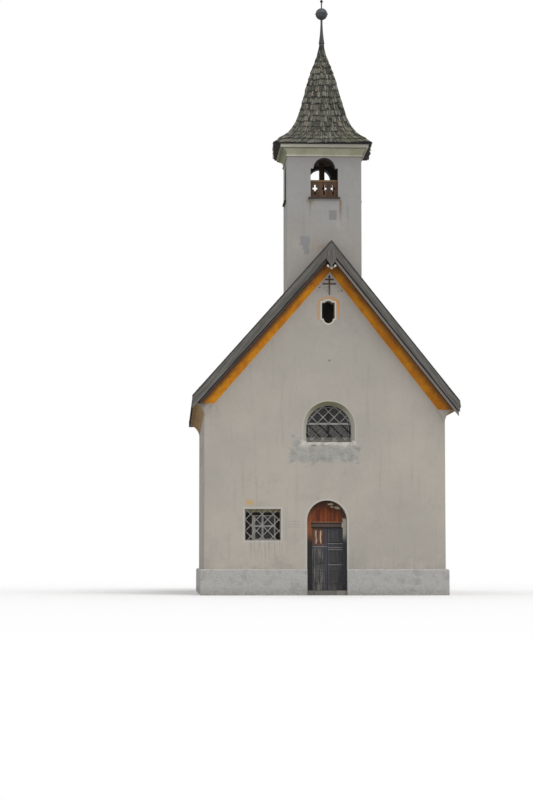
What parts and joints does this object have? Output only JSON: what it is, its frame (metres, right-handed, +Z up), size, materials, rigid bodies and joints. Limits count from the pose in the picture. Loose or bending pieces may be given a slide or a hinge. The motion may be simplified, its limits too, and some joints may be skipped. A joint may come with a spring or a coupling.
{
  "type": "small chapel",
  "caption": "Small plastered chapel with a shingled gable roof, a tower with a bell-cast spire over the front wall, and an arched double door.",
  "frame": {"origin": "ground level in the middle of the nave's plan", "axes": "+Z up, the front with its door and tower faces -Y, +X to the right when facing the front from behind the viewer"},
  "size_m": [8.519, 12.935, 20.171],
  "materials": {
    "plaster": "matte",
    "plinth_plaster": "matte",
    "ochre_plaster": "matte",
    "cornice_plaster": "matte",
    "stone": "matte",
    "shingle": "matte",
    "weathered_wood": "matte",
    "door_wood": "matte",
    "painted_wood": "matte",
    "tin": "satin",
    "iron": "matte",
    "glass": "gloss"
  },
  "bodies": {
    "chapel": {"back_gable": "plaster", "back_gable_cove": "ochre_plaster", "back_verge_boards": "weathered_wood", "back_wall": "plaster", "belfry_balustrades": "weathered_wood", "belfry_ceiling": "weathered_wood", "belfry_floor": "weathered_wood", "belfry_sills": "weathered_wood", "door_frame": "door_wood", "door_hinge_pins": "iron", "door_tympanum": "door_wood", "eave_cornice_left": "ochre_plaster", "eave_cornice_right": "ochre_plaster", "finial_ball": "tin", "finial_cross": "iron", "floor": "stone", "front_gable": "plaster", "front_gable_cove": "ochre_plaster", "front_verge_boards": "weathered_wood", "front_wall_left": "plaster", "front_wall_middle": "plaster", "front_wall_right": "plaster", "front_window_frame": "painted_wood", "front_window_grille": "iron", "kneelers": "plaster", "left_wall": "plaster", "lunette_frame": "painted_wood", "lunette_grille": "iron", "plinth_back": "plinth_plaster", "plinth_front": "plinth_plaster", "plinth_left": "plinth_plaster", "plinth_right": "plinth_plaster", "rafters_left": "weathered_wood", "rafters_right": "weathered_wood", "right_wall": "plaster", "roof_left": "shingle", "roof_right": "shingle", "side_window_frames": "painted_wood", "side_window_grilles": "iron", "spire": "shingle", "spire_cap": "tin", "spire_eaves": "weathered_wood", "spire_mast": "weathered_wood", "threshold": "stone", "tie_beams": "weathered_wood", "tower_arch": "plaster", "tower_back_wall": "plaster", "tower_beams": "weathered_wood", "tower_cornice": "cornice_plaster", "tower_front_wall": "plaster", "tower_left_wall": "plaster", "tower_right_wall": "plaster", "verge_pendant": "weathered_wood", "wall_plates": "weathered_wood", "window_glass": "glass"},
    "left_door": {"left_door": "door_wood"},
    "right_door": {"right_door": "door_wood"}
  },
  "joints": [
    {"name": "left_door_hinge", "type": "hinge", "parent": "chapel", "child": "left_door", "pos_m": [-0.383, -5.546, 1.2], "axis": [0, 0, 1], "range_deg": [0, 95]},
    {"name": "right_door_hinge", "type": "hinge", "parent": "chapel", "child": "right_door", "pos_m": [0.594, -5.546, 1.2], "axis": [0, 0, -1], "range_deg": [0, 95]}
  ]
}
